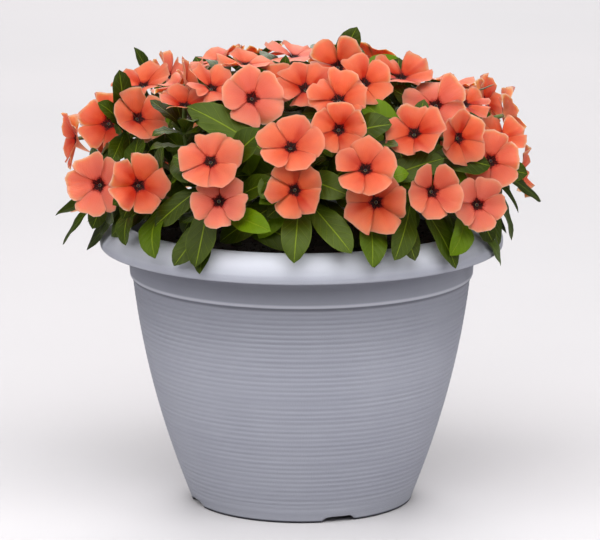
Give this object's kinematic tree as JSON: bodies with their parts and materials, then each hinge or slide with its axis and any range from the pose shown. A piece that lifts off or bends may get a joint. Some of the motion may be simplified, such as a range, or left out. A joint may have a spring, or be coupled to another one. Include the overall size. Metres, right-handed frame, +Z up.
{
  "type": "potted madagascar periwinkle",
  "caption": "Round planter with a rolled lip and a notched foot, filled with potting mix and carrying a low dome of open flat flowers over oval leaves that hang over the rim.",
  "frame": {"origin": "on the pot's axis, in the plane that the pot's foot stands on", "axes": "+Z up along the pot's axis, -Y towards the front that the picture shows, +X to the right as seen from the front"},
  "size_m": [0.366, 0.3376, 0.3611],
  "materials": {
    "planter": "matte, with fine level ribs",
    "potting_mix": "dark, crumbly bark and peat",
    "foliage": "glossy green with pale midribs",
    "petals": "soft coral with a dark eye"
  },
  "bodies": {
    "root": {"pot": "planter", "soil": "potting_mix", "plant_1": "foliage", "plant_2": "foliage", "plant_3": "foliage", "plant_4": "foliage", "plant_5": "foliage", "bloom_01": "petals", "bloom_02": "petals", "bloom_03": "petals", "bloom_04": "petals", "bloom_05": "petals", "bloom_06": "petals", "bloom_07": "petals", "bloom_08": "petals", "bloom_09": "petals", "bloom_10": "petals", "bloom_11": "petals", "bloom_12": "petals", "bloom_13": "petals", "bloom_14": "petals", "bloom_15": "petals", "bloom_16": "petals", "bloom_17": "petals", "bloom_18": "petals", "bloom_19": "petals", "bloom_20": "petals", "bloom_21": "petals", "bloom_22": "petals", "bloom_23": "petals", "bloom_24": "petals", "bloom_25": "petals", "bloom_26": "petals", "bloom_27": "petals", "bloom_28": "petals", "bloom_29": "petals", "bloom_30": "petals", "bloom_31": "petals", "bloom_32": "petals", "bloom_33": "petals", "bloom_34": "petals", "bloom_35": "petals", "bloom_36": "petals", "bloom_37": "petals", "bloom_38": "petals", "bloom_39": "petals", "bloom_40": "petals", "bloom_41": "petals", "bloom_42": "petals", "bloom_43": "petals", "bloom_44": "petals", "bloom_45": "petals", "bloom_46": "petals", "bloom_47": "petals", "bloom_48": "petals", "bloom_49": "petals", "bloom_50": "petals", "bloom_51": "petals", "bloom_52": "petals", "bloom_53": "petals"}
  },
  "joints": []
}
